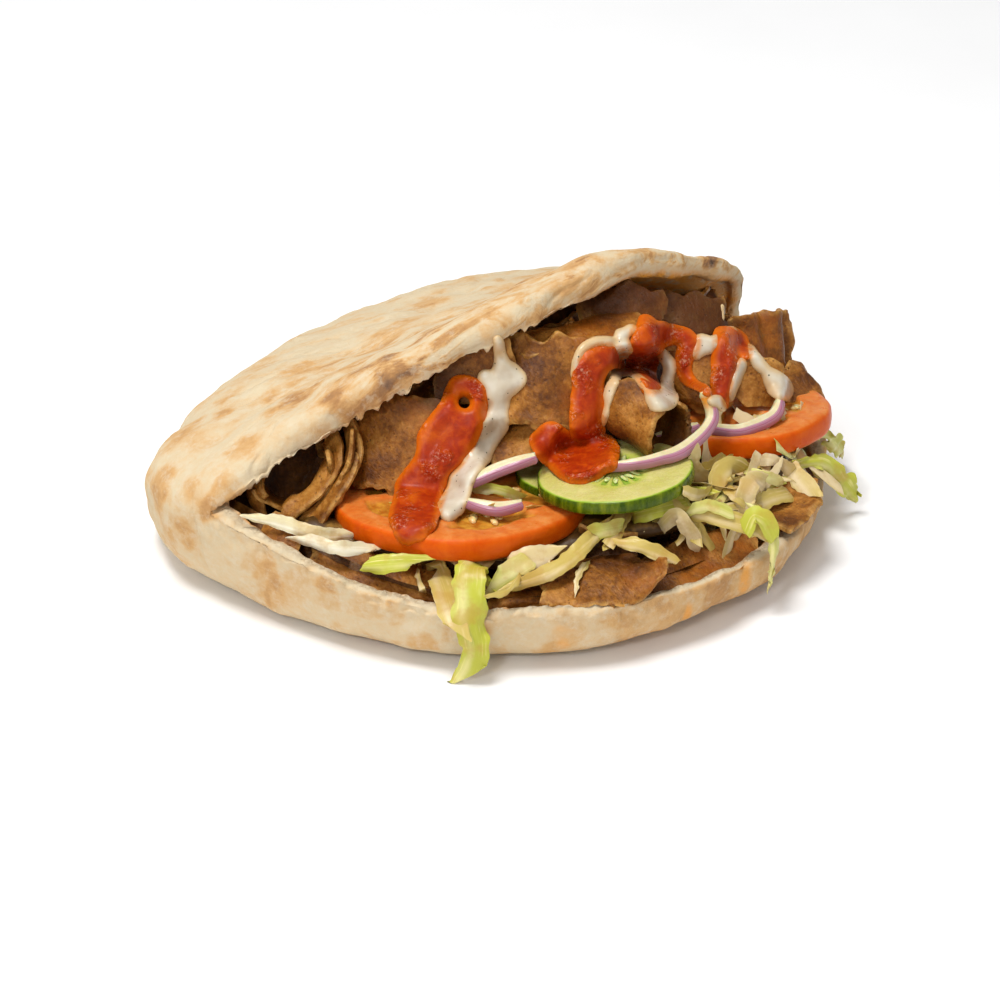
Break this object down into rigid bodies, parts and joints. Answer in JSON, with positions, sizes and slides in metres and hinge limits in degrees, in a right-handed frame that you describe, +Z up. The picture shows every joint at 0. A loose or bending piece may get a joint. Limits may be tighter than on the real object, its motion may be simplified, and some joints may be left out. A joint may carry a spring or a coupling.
{
  "type": "doner kebab sandwich",
  "caption": "Round pitta slit along its front and stuffed with shaved doner meat, lettuce, tomato, cucumber, red onion, chilli sauce and garlic yoghurt.",
  "frame": {"origin": "on the table below the middle of the sandwich's box", "axes": "+X towards the sandwich's right end, -Y towards the open front of the slit, +Z up"},
  "size_m": [0.2148, 0.2056, 0.0845],
  "materials": {
    "bread": "baked pitta crust, matt and floury, with browned blotches and a pale torn crumb along the slit",
    "meat": "shaved doner meat, mid brown with darker edges and fine pores, slightly greasy",
    "tomato": "cut tomato, wet flesh with an orange-red skin",
    "cucumber": "cut cucumber, pale wet flesh with a dark green skin",
    "onion": "red onion, cream inside and purple outside, moist",
    "lettuce": "shredded iceberg lettuce, cream to yellow-green, thin and moist",
    "chilli": "red-orange chilli sauce, glossy and lumpy",
    "yoghurt": "white garlic yoghurt sauce, smooth and glossy"
  },
  "bodies": {
    "root": {"bread": "bread", "chilli_far_right": "chilli", "chilli_left": "chilli", "chilli_middle": "chilli", "chilli_pool": "chilli", "chilli_right": "chilli", "cucumber_back": "cucumber", "cucumber_front": "cucumber", "lettuce_bed": "lettuce", "lettuce_drop": "lettuce", "lettuce_far_right": "lettuce", "lettuce_green_left": "lettuce", "lettuce_hanging": "lettuce", "lettuce_leaf": "lettuce", "lettuce_long": "lettuce", "lettuce_pale_left": "lettuce", "lettuce_pale_low": "lettuce", "lettuce_right": "lettuce", "lettuce_sweep": "lettuce", "lettuce_tail": "lettuce", "meat_front_left": "meat", "meat_heap": "meat", "meat_left_fold": "meat", "meat_left_roll": "meat", "meat_low_curl": "meat", "meat_middle": "meat", "meat_middle_roll": "meat", "meat_right_inner": "meat", "meat_right_pleat": "meat", "meat_right_tip": "meat", "meat_right_torn": "meat", "meat_rim_big": "meat", "meat_rim_crumb": "meat", "meat_rim_far": "meat", "meat_rim_left": "meat", "meat_rim_middle": "meat", "meat_rim_right": "meat", "meat_rim_roll": "meat", "meat_top_fold": "meat", "meat_top_right": "meat", "meat_top_shelf": "meat", "meat_under_lip": "meat", "onion_inner": "onion", "onion_left": "onion", "onion_long": "onion", "onion_low": "onion", "onion_right": "onion", "tomato_left": "tomato", "tomato_right": "tomato", "yoghurt_left": "yoghurt", "yoghurt_leg": "yoghurt", "yoghurt_loop": "yoghurt", "yoghurt_middle": "yoghurt", "yoghurt_right": "yoghurt"}
  },
  "joints": []
}
